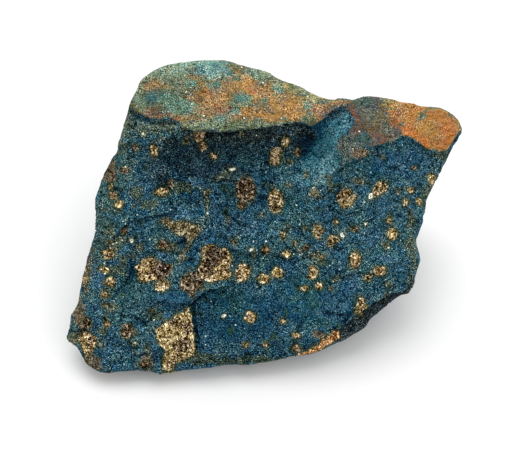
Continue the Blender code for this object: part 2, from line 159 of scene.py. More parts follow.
ROCK_BLOTS = {
    # hollow: darker rock in the hollow under the crest, partly its own colour and partly painted shade.
    "hollow": ((33, 57, 67), 0.55, [
        (225, 144, 92, 13, 4), (158, 166, 13, 26), (206, 168, 40, 12, -14), (337, 113, 9, 6, 25),
    ]),
    "lobe": ((79, 88, 81), 0.9, [(348, 148, 13, 14, 30), (360, 146, 10, 10)]),
    # The dark strip right under the crest's edge is painted shadow.
    "painted_crest_shadow": ((32, 44, 40), 0.6, [(250, 136, 58, 4, 3), (300, 132, 16, 6)]),
    "spot": ((54, 90, 90), 0.85, [(362, 139, 7, 6)]),
    "haze": ((50, 81, 77), 0.7, [
        (120, 168, 14, 18), (112, 204, 8, 12), (106, 182, 6, 20), (130, 128, 10, 10), (103, 236, 13, 26),
        (99, 262, 8, 10), (200, 222, 6, 6),
    ]),
    "umber": ((94, 80, 60), 0.9, [
        (362, 153, 10, 6), (376, 129, 4.5, 3), (93, 364, 10, 8), (111, 170, 7, 9), (122, 170, 5, 5),
        (121, 119, 4, 13), (88, 268, 5, 12), (146, 360, 7, 9), (319, 335, 4, 3),
    ]),
    "moss": ((72, 80, 56), 0.7, [
        (107, 211, 6, 5), (110, 232, 5, 5), (130, 333, 8, 6), (118, 270, 7, 6), (204, 288, 6, 5),
        (146, 205, 10, 5), (138, 192, 8, 7), (128, 110, 9, 6), (170, 248, 11, 7), (118, 244, 7, 8),
        (330, 184, 4, 6), (318, 258, 9, 5), (108, 306, 7, 4), (183, 188, 9, 5), (427, 192, 4, 5),
        (200, 359, 14, 7), (250, 361, 44, 4), (158, 316, 6, 4), (104, 330, 6, 7), (206, 206, 3, 12),
        (160, 128, 20, 7), (316, 195, 6, 6), (124, 120, 6, 16), (120, 142, 5, 10), (122, 262, 5, 7),
        (440, 155, 10, 4), (411, 245, 4, 30),
    ]),
    "bark": ((102, 90, 68), 0.95, [(80, 315, 7, 11), (83, 326, 7, 5), (77, 303, 4, 8), (85, 282, 5, 14)]),
    "lichen": ((80, 86, 64), 0.95, [(73, 338, 7, 8)]),
    # bright: lighter blue, partly the rock's own colour and partly painted light on facets that face the
    # lamp, as at 178, 297.
    "bright": ((37, 84, 109), 0.75, [
        (178, 297, 16, 7), (178, 213, 13, 7), (355, 277, 6, 4), (163, 257, 6, 3), (402, 163, 27, 13),
        (388, 258, 8, 7), (385, 206, 9, 7), (346, 290, 14, 10), (372, 238, 10, 9), (98, 278, 8, 12),
        (250, 228, 9, 8), (333, 296, 12, 10), (336, 312, 26, 9),
    ]),
}

# Broad darker and lighter areas of the face, as the display value that is added: ovals. The darker ones in
# the hollow under the crest, beside the ledges, along the bottom edge and on the overhang's underside are
# painted shade; the lighter ones on the left side and on the teal strip are partly painted light; the rest
# is the rock's own tone.
TONES = {
    -0.16: [(211, 274, 8, 10)],
    -0.13: [(225, 150, 90, 26, 4)],
    -0.12: [(372, 312, 40, 8, 29), (187, 201, 10, 5)],
    -0.11: [(306, 144, 11, 20, -35)],
    -0.1: [
        (250, 360, 70, 6), (262, 262, 26, 10), (200, 322, 4, 18), (146, 318, 10, 5), (187, 306, 14, 4, 8),
        (158, 184, 16, 9),
    ],
    -0.09: [(172, 176, 18, 38), (272, 162, 8, 9)],
    -0.08: [
        (232, 196, 62, 14), (250, 284, 20, 4), (186, 242, 12, 5, 12), (138, 279, 14, 12),
        (196, 343, 5, 14),
    ],
    -0.06: [
        (425, 102, 34, 5, 12), (240, 108, 12, 8), (194, 350, 8, 10), (280, 202, 14, 8),
        (126, 276, 12, 24, -35),
    ],
    -0.05: [
        (235, 143, 78, 11, 4), (215, 302, 24, 12), (134, 150, 8, 22), (120, 213, 8, 10),
        (127, 248, 10, 8), (178, 188, 12, 8), (300, 206, 20, 8), (356, 222, 12, 8), (375, 290, 10, 8),
        (352, 172, 16, 8), (382, 178, 14, 7), (240, 256, 12, 9),
    ],
    -0.04: [(192, 94, 22, 10), (125, 345, 14, 10), (285, 348, 34, 10)],
    -0.03: [(150, 245, 18, 12), (300, 222, 12, 10), (130, 302, 12, 10)],
    -0.02: [(245, 225, 100, 36, 5)],
    0.03: [(122, 182, 12, 12), (90, 232, 8, 24)],
    0.04: [(228, 72, 10, 8), (352, 268, 16, 14)],
    0.05: [(96, 292, 8, 18), (175, 68, 16, 5), (424, 172, 9, 12), (227, 236, 8, 8)],
    0.06: [(318, 113, 13, 6, -35), (328, 168, 10, 14, -30), (175, 208, 14, 7)],
    0.07: [(346, 200, 12, 9)],
}

# Areas where the break is smooth, and areas dusted with pale specks, as ovals.
CALM = [
    (315, 300, 50, 26), (238, 318, 34, 26), (318, 145, 16, 34, -35), (395, 165, 34, 16),
    (225, 300, 22, 12), (110, 170, 14, 30), (178, 297, 16, 8),
]
DUSTED = [
    (118, 246, 8, 12), (110, 262, 9, 10), (160, 238, 10, 8), (128, 350, 14, 10), (254, 246, 9, 10),
    (292, 234, 9, 9), (310, 252, 12, 7), (352, 214, 10, 7), (390, 212, 10, 12), (232, 176, 13, 6),
    (202, 205, 7, 12), (316, 190, 10, 7), (268, 287, 8, 5), (155, 240, 8, 6), (118, 320, 10, 12),
    (140, 345, 14, 8), (330, 262, 9, 8), (150, 200, 9, 8), (330, 172, 8, 8), (285, 256, 12, 5),
    (228, 316, 12, 5), (255, 340, 12, 6), (325, 322, 10, 5), (190, 130, 10, 5),
]

# Kinds of filling: (darkness, warmth, strength).
KINDS = {
    "white": (0.0, -1.0, 1.0),
    "cream": (0.1, 0.15, 1.0),
    "tan": (0.3, 0.35, 1.0),
    "drab": (0.36, 0.25, 0.95),
    "faint": (0.45, 0.1, 0.8),
    "brown": (0.7, 0.5, 0.95),
    "orange": (0.3, 1.0, 0.9),
    "dim": (0.45, 0.3, 0.5),
    "rusty": (0.2, 1.6, 1.0),
}

# Large fillings: (kind, outline).
OUTLINED_FILLINGS = {
    "south block": ("cream", [
        (190, 309), (193, 320), (196, 340), (195, 355), (186, 358), (178, 363), (172, 371), (162, 371),
        (162, 362), (165, 352), (159, 343), (155, 336), (157, 329), (162, 324), (172, 319), (180, 313),
    ]),
    "middle block": ("tan", [
        (201, 250), (206, 246), (213, 244), (219, 248), (226, 249), (231, 254), (232, 262), (230, 270),
        (232, 277), (226, 281), (217, 279), (209, 283), (204, 279), (199, 276), (198, 268), (202, 262),
    ]),
    "middle tail": ("brown", [
        (183, 277), (190, 272), (198, 272), (203, 279), (202, 285), (196, 292), (193, 298), (188, 293),
        (181, 288), (178, 284),
    ]),
    "west block": ("tan", [
        (135, 267), (141, 261), (147, 257), (152, 258), (158, 262), (165, 263), (172, 266), (171, 271),
        (167, 277), (160, 281), (152, 281), (143, 282), (138, 276),
    ]),
    "west vein": ("faint", [
        (160, 220), (167, 219), (174, 222), (183, 221), (190, 222), (198, 226), (202, 229), (199, 234),
        (195, 239), (191, 243), (186, 242), (185, 236), (179, 235), (174, 233), (168, 227), (162, 225),
    ]),
    "vein root": ("dim", [
        (189, 240), (193, 242), (190, 249), (184, 254), (181, 262), (177, 263), (179, 255), (184, 248),
    ]),
    "bottom facet": ("rusty", [
        (296, 355), (304, 352), (312, 348), (318, 343), (325, 337), (333, 331), (339, 332), (341, 338),
        (334, 343), (322, 349), (310, 355), (300, 358),
    ]),
    "corner block": ("tan", [
        (80, 333), (86, 333), (96, 338), (97, 343), (92, 351), (86, 356), (83, 350), (79, 341),
    ]),
}

# Small fillings, as kind: ovals.
FILLINGS = {
    "cream": [
        (264, 279, 6, 5), (277, 273, 5.5, 5), (105, 270, 5, 3), (119, 205, 4, 5), (431, 179, 4, 5.5),
        (392, 234, 5.5, 6.5), (287, 253, 4, 4), (344, 195, 5, 5), (410, 190, 4, 2.5), (205, 192, 1.8, 2),
    ],
    "tan": [
        (243, 272, 7.5, 9), (110, 282, 5.5, 5.5), (105, 295, 4.5, 4.5), (109, 254, 6, 5),
        (162, 192, 7, 4), (154, 151, 4, 6), (213, 156, 4, 4), (420, 202, 3.5, 3.5), (405, 203, 3.2, 3.8),
        (389, 221, 2.5, 4), (368, 278, 3.5, 2.5), (336, 223, 2, 3.5), (313, 272, 4.5, 7),
        (319, 286, 4, 4.5), (304, 289, 4, 2.5), (380, 271, 6.5, 5), (250, 317, 6, 6), (283, 321, 3, 2.5),
        (296, 336, 3, 3), (284, 235, 3, 4), (265, 344, 3, 3), (246, 345, 3, 3), (83, 268, 2.5, 4),
        (85, 280, 3, 4), (111, 186, 2.5, 3), (355, 260, 5.5, 8.5, -15),
    ],
    "drab": [
        (276, 201, 7.5, 11.5), (163, 286, 7, 6), (346, 198, 8.5, 9.5), (318, 231, 5.5, 7),
        (361, 307, 5.5, 10), (276, 152, 6, 5), (275, 160, 6, 5), (286, 143, 5, 5),
        (380, 189, 5.5, 9.5, -40), (332, 241, 4.5, 5.5, -35),
    ],
    "brown": [
        (124, 232, 3.5, 3.5), (164, 245, 6, 4), (246, 190, 10, 13), (297, 152, 4, 4), (306, 248, 3, 3),
        (127, 331, 6.3, 7), (145, 365, 6, 4), (242, 205, 5, 4), (354, 228, 4, 2.5), (171, 184, 4, 4),
        (415, 168, 2.5, 2.5), (136, 147, 3, 3), (86, 323, 5, 4.5),
    ],
    "orange": [
        (113, 196, 4, 4), (199, 139, 6, 5), (203, 147, 4, 4), (265, 250, 4, 4), (297, 349, 5, 4),
        (107, 323, 3, 3),
    ],
    "white": [
        (131, 240, 2, 2), (343, 235, 1.8, 1.8), (371, 197, 3, 2.5), (313, 189, 2.5, 2), (365, 224, 2, 2),
        (252, 250, 2, 2), (223, 316, 2, 2), (144, 135, 2, 2), (238, 280, 2.2, 2), (134, 343, 2.5, 2),
        (101, 346, 2, 2), (221, 178, 3, 1.8), (226, 173, 2, 1.6), (232, 169, 3, 1.8),
    ],
    "dim": [
        (185, 142, 4, 3), (243, 136, 3, 3), (139, 248, 4, 4), (288, 226, 2.5, 2.5), (106, 304, 4, 3),
        (314, 193, 5, 5), (306, 175, 3, 3), (358, 181, 7, 3), (290, 162, 4, 4), (272, 186, 3, 3),
        (289, 185, 4, 2.5), (328, 177, 4, 2.5), (228, 220, 2.5, 4), (263, 215, 3, 3), (235, 241, 4, 4),
        (254, 254, 2.5, 5), (295, 244, 3, 3), (305, 228, 2.5, 2.5), (322, 257, 4, 3.5),
        (313, 256, 3.5, 3), (331, 289, 3, 2.5), (336, 279, 5, 3), (386, 245, 3, 4), (388, 285, 3, 3.5),
        (387, 297, 3, 5), (397, 191, 3, 3), (300, 251, 3, 3), (110, 242, 3, 3), (132, 257, 3, 2),
        (382, 157, 3, 2.5), (150, 312, 3, 3), (106, 320, 3, 3), (183, 258, 4, 3), (148, 348, 3, 3),
    ],
}

# Darker parts of the fillings: (an oval's four numbers, darkness).
DARK_CORES = [
    (213, 257, 9, 10, 0.9), (208, 270, 8, 8, 0.7), (162, 271, 10, 9, 1), (193, 280, 7, 6, 0.8),
    (173, 322, 7, 4, 0.65), (181, 325, 7, 4, 0.65), (188, 328, 4, 7, 0.8), (246, 188, 8, 10, 0.85),
    (223, 255, 5, 5, 0.6), (184, 346, 10, 8, 0.65), (174, 362, 14, 8, 0.4), (276, 203, 6, 8, 0.55),
    (225, 268, 4, 5, 0.4), (194, 235, 5, 4, 0.5), (176, 229, 5, 4, 0.4), (90, 344, 4, 6, 0.5),
    (148, 276, 5, 4, 0.4), (244, 275, 4, 5, 0.35),
]

# Small ledges: (drop in millimetres, line). The side to the right of the line's direction drops.
LEDGES = [
    (1.1, [(160, 302), (175, 304), (192, 305), (198, 298), (205, 292), (220, 288)]),
    (0.6, [(196, 306), (197, 320), (199, 335)]),
    (0.6, [(285, 259), (293, 262), (302, 258)]),
    (0.6, [(350, 274), (362, 271), (374, 274)]),
    (0.6, [(235, 250), (247, 254), (260, 252)]),
    (0.7, [(115, 236), (122, 227), (130, 221), (145, 217), (165, 214)]),
    (0.6, [(136, 316), (146, 322), (152, 316)]),
    (0.4, [(116, 292), (124, 282), (130, 272), (128, 258)]),
    (0.9, [(338, 331), (352, 320), (366, 309), (374, 303), (390, 297), (404, 291), (414, 282)]),
    (0.4, [(338, 171), (346, 164), (356, 161), (366, 156)]),
    (0.5, [(172, 246), (180, 241), (191, 236)]),
    (0.4, [(226, 212), (236, 218), (246, 224)]),
    (0.4, [(328, 312), (338, 314), (350, 312)]),
    (0.5, [(148, 252), (160, 249), (174, 251)]),
    (0.4, [(280, 256), (290, 259), (303, 255)]),
    (0.4, [(206, 176), (220, 180), (232, 178)]),
    (0.4, [(330, 208), (345, 214), (360, 210)]),
    (0.7, [(66, 325), (75, 330), (84, 328), (90, 332)]),
]

# Small corrections of the stone's outline: (an oval's five numbers, millimetres outward).
TRIMS = [
    (398, 300, 18, 9, -20, -0.9), (419, 214, 10, 14, 0, 0.35), (412, 255, 8, 12, 0, 0.7),
    (93, 226, 10, 22, 0, -0.3),
]

# The lobe of the mauve patch, where the face below it isn't undercut.
LOBE = (350, 142, 30, 36, -30)

# Thin pale needles.
NEEDLES = [
    [(160, 140), (168, 135), (178, 130)], [(148, 128), (155, 121), (160, 118)],
    [(218, 181), (225, 173), (234, 168)], [(336, 207), (341, 200)], [(314, 184), (322, 177)],
    [(193, 184), (201, 189), (206, 197), (208, 206), (206, 214), (202, 220)],
    [(124, 222), (128, 214), (133, 209)], [(302, 183), (310, 178)], [(318, 186), (326, 180)],
]

# How fast the face's patches run out where the stone turns over to its back, in millimetres, and how
# squarely a point faces the station, as a cosine, where the face's relief fades in.
EDGE_REACH = 9.0
FACE_TURN = (-0.05, 0.12)

# Distances are stored up to FAR millimetres. OFF_FACE is a depth far outside everything.
FAR = 3.0
OFF_FACE = -1e3

# The readings over which an oval's effect on the relief fades in.
OVAL_EDGE = (-4.0, 6.0)

# The skin's mesh size, and the heights over which its relief fades in above the floor, in millimetres.
SKIN_VOXEL = 0.4
FOOTING = (0.3, 2.0)

# Layers of the relief: (height, size of a lump, flake or step, seed), in millimetres.
LAYERS = {
    "flakes": (0.45, 4.4, 5), "chips": (0.04, 1.7, 6), "lumps": (0.42, 6.5, 7), "rucks": (0.1, 1.6, 8),
    "swells": (0.2, 3.4, 9), "soft rucks": (0.22, 1.25, 10), "grit": (0.2, 0.8, 11),
    "steps": (0.45, 3.2, 41),
}

# How far the edges of patches wander and fray, in readings, and in lumps of what size, in millimetres.
WARP_REACH = 2.4
WARP_SIZE = 1.7
FRAY_REACH = 1.6
FRAY_SIZE = 0.75

# How far a ledge's drop reaches, in millimetres.
LEDGE_REACH = 2.6

# The hollow under the crests: its depth and its distance below them in millimetres, and the readings
# over which it gets shallower to the right.
UNDERCUT = 1.15
UNDERCUT_REACH = 0.8
UNDERCUT_FADE = (372.0, 392.0)

# The seeded fillings of the hidden sides: their number, kinds, and radii in millimetres.
HIDDEN_FILLINGS = 230
HIDDEN_KINDS = ["cream", "tan", "tan", "brown", "dim", "dim"]
LEAST_RADIUS = 0.35
RADIUS_RANGE = 1.5
SEED = 20261123

# The ways that streaks run: level on the shelves, and slanting on the broken rock.
LEVEL = (1.0, 0.0, 0.0)
SLANT = (0.8, -0.5, -0.3)

# Noises of the material: (size in millimetres, detail, roughness, shift).
NOISES = {
    "fine": (0.145, 0.0, 0.5, 0.0), "small": (0.95, 1.0, 0.5, 3.0), "middle": (2.6, 2.0, 0.6, 7.0),
    "broad": (9.0, 2.0, 0.55, 11.0), "hue": (3.0, 1.0, 0.5, 23.0), "tint": (2.2, 1.0, 0.5, 31.0),
    "mottle": (0.45, 1.0, 0.5, 53.0),
}

# Streaky noises: (size in millimetres, stretch, shift, direction).
STREAKS = {
    "drawn": (0.8, 3.0, 5.0, LEVEL), "level": (0.55, 3.4, 9.0, LEVEL), "slant": (0.5, 3.6, 15.0, SLANT),
    "folds": (1.2, 2.2, 13.0, LEVEL), "fibres": (0.22, 2.8, 17.0, SLANT),
}

# Sizes in millimetres of grains, crumbs in the fillings, cells that hold a speck, blocks between
# cracks and between chinks, and small tilted flakes, and the slope of the flakes.
GRAIN_SIZE = 0.21
CRUMB_SIZE = 0.55
SPECK_SIZE = 0.62
CRACK_BLOCK = 3.2
CHINK_BLOCK = 1.7
FLAKE_SIZE = 1.6
FLAKE_SLOPE = 0.1

# What is added to a display colour: by lightness, besides that by the bits in the fillings, and by
# the warmer places of the shelves.
GRAIN_COLOUR = (1.07, 0.99, 0.93)
BITS_COLOUR = (-0.04, 0.05, 0.14)
WARM_COLOUR = (0.18, 0.03, -0.18)

# The darkest display value of a grain, and the power from display values to light.
DARKEST = 0.03
DISPLAY_GAMMA = 2.2

# The lamp, in metres and watts, and the point that it is turned to.
KEY_PLACE = (-0.09, 0.37, 0.84)
KEY_SIZE = 0.6
KEY_POWER = 3.7
KEY_TARGET = (0.0, 0.0, 0.015)

# The soft surround: an even part, and broad glows (direction, strength).
SURROUND_EVEN = 0.36
SURROUND = [((0.0, 1.0, 0.4), 2.0), ((1.0, -0.5, 0.7), 1.08)]
GLOW_POWER = 2.0

# The floor's half width in metres, its colour and its sheen.
FLOOR_REACH = 3.0
FLOOR_WHITE = (0.78, 0.78, 0.78, 1.0)
FLOOR_ROUGHNESS = 0.9
FLOOR_SPECULAR = 0.1

# Large odd numbers that turn a whole-numbered cell and a seed into chance.
CELL_FACTORS = (73856093, 19349663, 83492791)
SEED_FACTOR = 2654435761
CHANCE_FACTORS = (1664525, 2246822519)
CHANCE_STEP = 1013904223
WORD = 0xFFFFFFFF

TINY = 1e-9

rng = np.random.default_rng(SEED)


# ---- the survey frame


def survey_axes():
    """The survey plane's own directions: right, up the slope, and towards the station."""
    right = Vector((1.0, 0.0, 0.0))
    up = Vector((0.0, cos(PLANE_TILT), sin(PLANE_TILT)))
    out = Vector((0.0, -sin(PLANE_TILT), cos(PLANE_TILT)))
    return right, up, out


def readings(points):
    """The survey readings of points in millimetres."""
    right, up, out = (np.array(axis) for axis in survey_axes())
    away = points - np.array(PLANE_ORIGIN)
    scale = 1.0 - (away @ out) / STATION_HEIGHT
    x = SURVEY_CENTRE[0] + (away @ right) / scale / READING
    y = SURVEY_CENTRE[1] - (away @ up) / scale / READING
    return np.stack([x, y], axis=1)


# ---- distances, in readings


def segment_distance(points, start, end):
    """The distance of each point from one straight segment."""
    along = end - start
    share = np.clip(((points - start) @ along) / max(along @ along, TINY), 0.0, 1.0)
    return np.linalg.norm(points - start - share[:, None] * along, axis=1)


def segments(line):
    """The straight parts of an open line, as pairs of ends."""
    corners = np.array(line, float)
    return zip(corners[:-1], corners[1:])


def turn_side(points, start, end):
    """Above 0 to the right of the way from start to end, and below 0 to its left."""
    along = end - start
    return along[0] * (points[:, 1] - start[1]) - along[1] * (points[:, 0] - start[0])


def outline_depth(points, outline):
    """How deep each point lies inside a closed outline; negative outside it."""
    corners = np.array(outline, float)
    nearest = np.full(len(points), np.inf)
    inside = np.zeros(len(points), bool)
    for start, end in zip(corners, np.roll(corners, -1, axis=0)):
        nearest = np.minimum(nearest, segment_distance(points, start, end))
        crosses = (start[1] > points[:, 1]) != (end[1] > points[:, 1])
        rise = end[1] - start[1] if end[1] != start[1] else TINY
        reach = start[0] + (end[0] - start[0]) * (points[:, 1] - start[1]) / rise
        inside ^= crosses & (points[:, 0] < reach)
    return np.where(inside, nearest, -nearest)


def oval_depth(points, x, y, half_width, half_height, tilt=0.0):
    """How deep each point lies inside an oval, near enough; negative outside it."""
    c, s = cos(radians(tilt)), sin(radians(tilt))
    dx, dy = points[:, 0] - x, points[:, 1] - y
    a = (c * dx - s * dy) / half_width
    b = (s * dx + c * dy) / half_height
    return (1.0 - np.hypot(a, b)) * min(half_width, half_height)


def deepest(points, ovals):
    """How deep each point lies inside the nearest of some ovals; negative outside them."""
    return np.max([oval_depth(points, *oval) for oval in ovals], axis=0)


def line_distance(points, lines):
    """The distance to the nearest of some lines, negative on their left side, in millimetres."""
    signed = np.full(len(points), np.inf)
    for line in lines:
        for start, end in segments(line):
            along = end - start
            share = (points - start) @ along / (along @ along)
            distance = segment_distance(points, start, end)
            left = (share > 0) & (share < 1) & (turn_side(points, start, end) < 0)
            closer = distance < np.abs(signed)
            signed = np.where(closer, np.where(left, -distance, distance), signed)
    return signed * READING


def ledge_drop(points, drop, line):
    """The drop behind one ledge line: sharp at the line, and fading out on its lower side."""
    nearest = np.full(len(points), np.inf)
    side = np.zeros(len(points))
    for start, end in segments(line):
        distance = segment_distance(points, start, end)
        closer = distance < nearest
        nearest = np.where(closer, distance, nearest)
        side = np.where(closer, turn_side(points, start, end), side)
    away = nearest * READING
    falloff = np.exp(-((away / LEDGE_REACH) ** 2) * 2.0)
    return np.where(side > 0, drop * falloff * smooth_rise(away, -0.2, 0.35), 0.0)


# ---- solid noise


def smooth_rise(value, low, high):
    """0 below low, 1 above high, and a smooth rise between."""
    share = np.clip((value - low) / (high - low), 0.0, 1.0)
    return share * share * (3.0 - 2.0 * share)


def oval_share(points, oval):
    """1 well inside an oval, 0 well outside it, and a smooth rise between."""
    return smooth_rise(oval_depth(points, *oval), *OVAL_EDGE)


def lattice_chance(cells, seed, count):
    """Repeatable random numbers from 0 to 1 for whole-numbered cells: count of them for each cell."""
    x, y, z = (cells * np.array(CELL_FACTORS)).T
    mixed = (x ^ y ^ z ^ seed * SEED_FACTOR) & WORD
    columns = []
    for _ in range(count):
        mixed = (mixed * CHANCE_FACTORS[0] + CHANCE_STEP) & WORD
        mixed ^= mixed >> 15
        mixed = (mixed * CHANCE_FACTORS[1]) & WORD
        mixed ^= mixed >> 13
        columns.append(mixed / (WORD + 1.0))
    return np.stack(columns, axis=1)


def soft_noise(points, size, seed, octaves=1):
    """Smooth noise, about -1 to 1, with lumps about size across. Each octave is half as large as the one
    before and a little over half as strong."""
    total = np.zeros(len(points))
    weight, weights = 1.0, 0.0
    for octave in range(octaves):
        place = points / size * 2.0**octave + 17.31 * (octave + seed)
        cell = np.floor(place).astype(np.int64)
        part = place - cell
        fade = part**3 * (part * (part * 6.0 - 15.0) + 10.0)
        value = np.zeros(len(points))
        for corner in np.ndindex(2, 2, 2):
            corner = np.array(corner)
            slope = lattice_chance(cell + corner, seed + 101 * octave, 3) * 2.0 - 1.0
            share = np.prod(np.where(corner == 1, fade, 1.0 - fade), axis=1)
            value += share * np.sum(slope * (part - corner), axis=1)
        total += weight * value * 1.6
        weights += weight
        weight *= 0.55
    return total / weights


def shards(points, size, seed):
    """A relief of tilted flakes, about -0.5 to 0.5: each cell of an uneven lattice is one flat flake."""
    place = points / size
    home = np.floor(place).astype(np.int64)
    best = np.full(len(points), np.inf)
    relief = np.zeros(len(points))
    for step in np.ndindex(3, 3, 3):
        cell = home + np.array(step) - 1
        chance = lattice_chance(cell, seed, 7)
        offset = place - (cell + chance[:, :3])
        distance = np.sum(offset**2, axis=1)
        nearer = distance < best
        best = np.where(nearer, distance, best)
        tilt = chance[:, 3:6] * 2.0 - 1.0
        flake = np.sum(offset * tilt, axis=1) + (chance[:, 6] - 0.5) * 0.5
        relief = np.where(nearer, flake, relief)
    return relief


def terraces(points, places, size, seed):
    """Steps across the face, -0.5 to 0.5: each rises slowly down the slope and then drops."""
    waves = 2.2 * soft_noise(points, 11.0, seed) + 0.55 * soft_noise(points, 3.4, seed + 1)
    count = places[:, 1] * READING / size + waves
    return count - np.floor(count) - 0.5


# ---- the skin


def add_object(name, data):
    """A new object in the scene."""
    thing = bpy.data.objects.new(name, data)
    bpy.context.scene.collection.objects.link(thing)
    return thing


def apply_modifiers(thing):
    """Makes the modified shape the object's own mesh."""
    ready = bpy.context.evaluated_depsgraph_get()
    made = bpy.data.meshes.new_from_object(thing.evaluated_get(ready))
    thing.modifiers.clear()
    old = thing.data
    thing.data = made
    bpy.data.meshes.remove(old)


def fine_skin(stone):
    """A finer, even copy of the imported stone's shape."""
    shape = bmesh.new()
    shape.from_mesh(stone.data)
    bmesh.ops.remove_doubles(shape, verts=shape.verts, dist=1e-6)
    mesh = bpy.data.meshes.new("weathered_stone")
    shape.to_mesh(mesh)
    shape.free()
    skin = add_object("weathered_stone", mesh)
    remesh = skin.modifiers.new("even", "REMESH")
    remesh.mode = "VOXEL"
    remesh.voxel_size = SKIN_VOXEL * MM
    smooth = skin.modifiers.new("smooth", "SMOOTH")
    smooth.factor = 0.5
    smooth.iterations = 3
    apply_modifiers(skin)
    return skin


def point_vectors(mesh, name):
    """The places or normals of the mesh's points as an array."""
    numbers = np.empty(len(mesh.vertices) * 3)
    mesh.vertices.foreach_get(name, numbers)
    return numbers.reshape(-1, 3)


def edge_pairs(mesh):
    """The two ends of every edge."""
    pairs = np.empty(len(mesh.edges) * 2, np.int64)
    mesh.edges.foreach_get("vertices", pairs)
    return pairs.reshape(-1, 2)


def spread(values, pairs, rounds):
    """Values averaged with their neighbours a few times."""
    count = len(values)
    valence = np.bincount(pairs.ravel(), minlength=count)
    for _ in range(rounds):
        total = np.bincount(pairs[:, 0], values[pairs[:, 1]], count)
        total += np.bincount(pairs[:, 1], values[pairs[:, 0]], count)
        values = 0.5 * values + 0.5 * total / np.maximum(valence, 1)
    return values


class Face:
    """The skin's points with their survey readings, and how far each one faces the station."""

    def __init__(self, mesh):
        self.points = point_vectors(mesh, "co") / MM
        self.normals = point_vectors(mesh, "normal")
        self.pairs = edge_pairs(mesh)
        for axis in range(3):
            self.normals[:, axis] = spread(self.normals[:, axis], self.pairs, 2)
        self.facing = self.normals @ np.array(survey_axes()[2])
        self.turned = (spread(self.facing, self.pairs, 12) - 0.05) * EDGE_REACH
        self.front = smooth_rise(self.facing, *FACE_TURN)
        self.seen = self.front > 0.5
        self.places = readings(self.points)
        self.warp = WARP_REACH * self.wobble(WARP_SIZE, 31, 2)
        self.warped = self.places + self.warp + FRAY_REACH * self.wobble(FRAY_SIZE, 33, 1)

    def wobble(self, size, seed, octaves):
        """Two smooth noises side by side, to move the readings by."""
        return np.stack([soft_noise(self.points, size, seed + turn, octaves) for turn in range(2)], axis=1)

    def within(self, depth):
        """A depth in readings as millimetres, ending where the stone turns over to its back."""
        return np.minimum(depth * READING, self.turned)


# ---- the fillings


def fillings_on_face(places):
    """Each filling of the face: its kind, and how deep every place lies inside it, in readings."""
    for name, ovals in FILLINGS.items():
        for oval in ovals:
            yield name, oval_depth(places, *oval)
    for name, outline in OUTLINED_FILLINGS.values():
        yield name, outline_depth(places, outline)


def fillings_elsewhere(points, facing):
    """The same for seeded fillings on the walls, in millimetres of solid distance."""
    hidden = np.flatnonzero(facing < 0.0)
    for spot in rng.choice(hidden, HIDDEN_FILLINGS, replace=False):
        radius = LEAST_RADIUS + RADIUS_RANGE * rng.random() ** 3
        name = HIDDEN_KINDS[rng.integers(len(HIDDEN_KINDS))]
        stretch = 0.75 + 0.5 * rng.random(3)
        yield name, radius - np.linalg.norm((points - points[spot]) * stretch, axis=1)


def nearest_filling(fillings, count):
    """Depth inside the nearest of some fillings, and that filling's kind, for each of count points."""
    depth = np.full(count, OFF_FACE)
    kind = np.zeros((count, 3))
    for name, new_depth in fillings:
        nearer = new_depth > depth
        depth = np.where(nearer, new_depth, depth)
        kind[nearer] = KINDS[name]
    return depth, kind


def all_fillings(face):
    """Depth in millimetres inside the nearest filling of the whole stone, and that filling's kind."""
    count = len(face.points)
    depth, kind = nearest_filling(fillings_on_face(face.warped), count)
    for *oval, darkness in DARK_CORES:
        core = smooth_rise(oval_depth(face.warped, *oval), -3.0, 3.0)
        kind[:, 0] = np.maximum(kind[:, 0], darkness * core)
    depth = np.where(face.seen, depth * READING, OFF_FACE)
    far_depth, far_kind = nearest_filling(fillings_elsewhere(face.points, face.facing), count)
    nearer = far_depth > depth
    kind[nearer] = far_kind[nearer]
    return np.where(nearer, far_depth, depth), kind


# ---- the relief, in millimetres


def layer(name, noise, *places, **more):
    """One layer of the relief: its height times a noise of its size and seed."""
    height, size, seed = LAYERS[name]
    return height * noise(*places, size, seed, **more)


def rock_relief(face, broken, calm_share):
    """Flakes, steps, lumps and rucks where the rock is broken, and a gentler relief elsewhere."""
    points = face.points
    bend = face.warp[:, :1]
    flakes = layer("flakes", shards, points + 0.8 * bend) + layer("chips", shards, points)
    stepped = smooth_rise(soft_noise(points, 7.0, 21, 2), -0.1, 0.4) * face.front
    steps = layer("steps", terraces, points, face.places) * stepped
    rucked = points * np.array([0.3, 1.0, 1.0]) + 0.25 * bend
    rucks = np.abs(layer("rucks", soft_noise, rucked))
    rough = flakes + steps + layer("lumps", soft_noise, points) + rucks
    calm = layer("swells", soft_noise, points, octaves=2) + np.abs(layer("soft rucks", soft_noise, rucked))
    return calm + (rough - calm) * broken * (1.0 - 0.6 * calm_share)


def undercut(face, shelf):
    """The depth of the hollow under the crests. shelf is the depth inside the weathered shelves."""
    fading = smooth_rise(face.places[:, 0], *UNDERCUT_FADE)
    most = UNDERCUT * (1.0 - 0.85 * oval_share(face.places, LOBE)) * (1.0 - 0.5 * fading)
    below = np.where(face.seen, -shelf, 0.0)
    return most * np.exp(-np.abs(below - UNDERCUT_REACH) / UNDERCUT_REACH) * (below > 0)


def small_relief(face, shelf, depth, kind, calm_share):
    """How far each point of the skin moves along its normal."""
    broken = 1.0 - smooth_rise(shelf, -0.5, 0.8)
    inside = smooth_rise(depth, -0.1, 0.35) * kind[:, 2]
    relief = rock_relief(face, broken, calm_share) * (1.0 - 0.6 * inside)
    grit = layer("grit", soft_noise, face.points, octaves=2)
    relief += inside * (0.05 - 0.45 * kind[:, 0] + grit)
    for drop, line in LEDGES:
        relief -= face.front * ledge_drop(face.places, drop, line)
    relief -= broken * face.front * undercut(face, shelf)
    relief *= 1.0 - 0.55 * np.exp(-((face.facing / 0.3) ** 2))
    for *oval, amount in TRIMS:
        relief += amount * oval_share(face.places, oval)
    return relief


